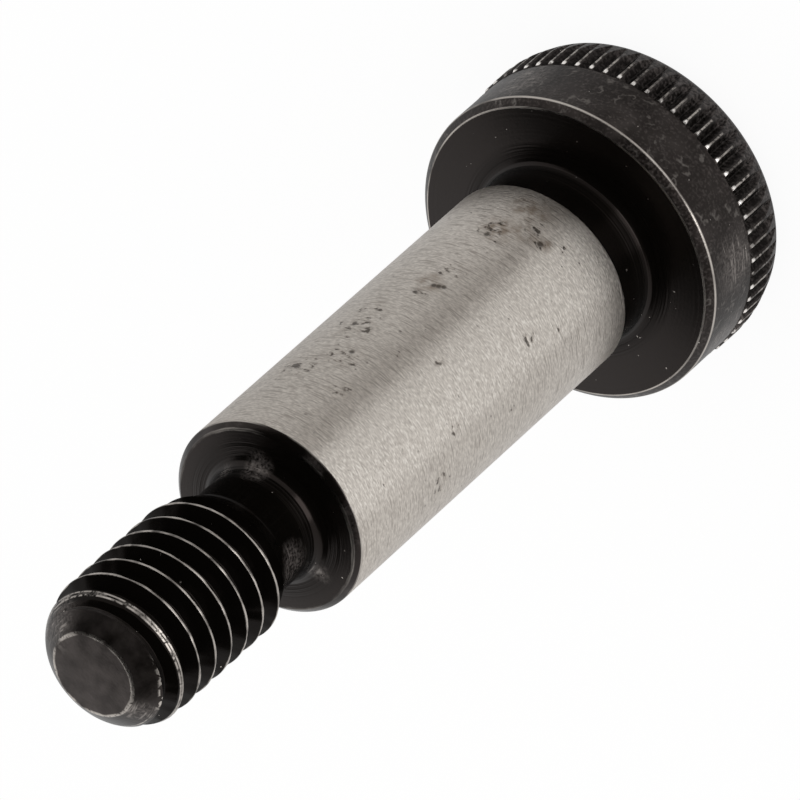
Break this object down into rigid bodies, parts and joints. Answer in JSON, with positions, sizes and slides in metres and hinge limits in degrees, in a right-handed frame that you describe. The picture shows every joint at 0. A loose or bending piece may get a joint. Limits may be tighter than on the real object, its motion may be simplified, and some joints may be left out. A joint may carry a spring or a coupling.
{
  "type": "shoulder bolt",
  "caption": "Hexagon socket head shoulder bolt in black steel, with a bright ground shoulder, a straight-knurled head and a shorter thinner thread.",
  "frame": {"origin": "centre of the head's top face, which the bolt stands on", "axes": "+Z along the bolt, from the head's top to the tip of the thread"},
  "size_m": [0.013, 0.013, 0.0365],
  "materials": {
    "blackened_steel": "black oxide, with the shoulder ground bright"
  },
  "bodies": {
    "root": {"shoulder_bolt": "blackened_steel"}
  },
  "joints": []
}
